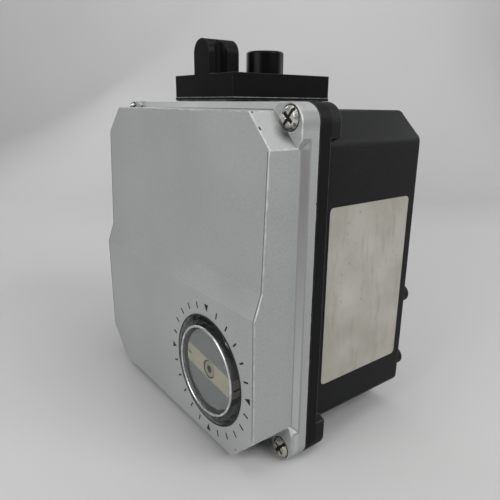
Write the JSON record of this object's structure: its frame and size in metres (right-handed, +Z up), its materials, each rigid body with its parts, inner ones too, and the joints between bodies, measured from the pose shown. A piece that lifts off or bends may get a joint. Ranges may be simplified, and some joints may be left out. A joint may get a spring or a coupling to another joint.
{
  "type": "pneumatic valve positioner",
  "caption": "Quarter-turn pneumatic valve positioner: cast case with clear indicator window, spool valve block on top, and cam feedback movement inside.",
  "frame": {"origin": "centre of the bounding box at floor level", "axes": "+X to the right seen from the front cover, +Y to the rear along the feedback shaft, +Z up"},
  "size_m": [0.1544, 0.1224, 0.1901],
  "materials": {
    "housing_black": "satin",
    "cover_silver": "satin",
    "block_black": "black anodised, satin",
    "plate_black": "matt",
    "window_clear": "clear, polished",
    "seal_rubber": "matt",
    "nickel": "nickel plated",
    "dark_steel": "blackened",
    "steel": "ground",
    "brass": "turned",
    "light_alloy": "machined",
    "drum_plastic": "printed stripe",
    "roller_plastic": "moulded"
  },
  "bodies": {
    "case": {"housing": "housing_black", "front_cover": "cover_silver", "valve_block": "block_black", "end_cap": "block_black", "gasket_plate": "plate_black", "indicator_window": "window_clear", "cover_gasket": "seal_rubber", "window_seal": "seal_rubber", "diaphragm": "seal_rubber", "shaft_seal": "seal_rubber", "cover_screws": "nickel", "keeper_screws": "nickel", "plate_screws": "nickel", "block_screws": "dark_steel", "beam_clip": "dark_steel", "lever_clip": "dark_steel", "spool_spring": "steel", "feedback_spring": "steel", "beam_pin": "steel", "lever_pin": "steel", "movement_plate": "steel", "inner_bush": "brass", "outer_bush": "brass", "valve_sleeve": "brass", "supply_filter": "brass", "signal_tube": "brass", "capsule_base": "light_alloy", "capsule_cover": "light_alloy", "window_keeper": "light_alloy"},
    "shaft": {"feedback_shaft": "steel", "cam": "steel", "cam_nut": "brass", "indicator_drum": "drum_plastic", "indicator_screw": "nickel", "shaft_clip": "dark_steel"},
    "lever": {"follower_lever": "light_alloy", "roller_pin": "steel", "zero_rod": "steel"},
    "roller": {"cam_roller": "roller_plastic"},
    "zero_nut": {"zero_nut": "brass"},
    "beam": {"balance_beam": "light_alloy"},
    "spool": {"spool": "steel"},
    "stem": {"diaphragm_stem": "steel"}
  },
  "joints": [
    {"name": "shaft_turn", "type": "hinge", "parent": "case", "child": "shaft", "pos_m": [0.0392, -0.0298, 0.0389], "axis": [0, 1, 0], "range_deg": [-7, 83]},
    {"name": "lever_swing", "type": "hinge", "parent": "case", "child": "lever", "pos_m": [0.006, 0.0057, 0.066], "axis": [0, -1, 0], "range_deg": [-0.94, 11.08], "deforming": ["feedback_spring"]},
    {"name": "roller_spin", "type": "hinge", "parent": "lever", "child": "roller", "pos_m": [0.03907, -0.0008, 0.06307], "axis": [0, -1, 0], "continuous": true},
    {"name": "zero_turn", "type": "hinge", "parent": "lever", "child": "zero_nut", "pos_m": [-0.02986, 0.0057, 0.06918], "axis": [0.0883, 0, 0.9961], "range_deg": [-180, 180]},
    {"name": "beam_tilt", "type": "hinge", "parent": "case", "child": "beam", "pos_m": [-0.02, 0.0057, 0.12], "axis": [0, -1, 0], "range_deg": [-3, 3], "deforming": ["feedback_spring"]},
    {"name": "spool_slide", "type": "slide", "parent": "case", "child": "spool", "axis": [0, 0, 1], "range_m": [-0.00097, 0.00097], "deforming": ["spool_spring"]},
    {"name": "stem_slide", "type": "slide", "parent": "case", "child": "stem", "axis": [0, 0, 1], "range_m": [-0.00169, 0.00169], "deforming": ["diaphragm"]}
  ],
  "couplings": [
    {"joint": "lever_swing", "follows": "shaft_turn", "ratio": 0.13333},
    {"joint": "spool_slide", "follows": "beam_tilt", "m_per_rad": 0.0183},
    {"joint": "stem_slide", "follows": "beam_tilt", "m_per_rad": -0.032}
  ]
}
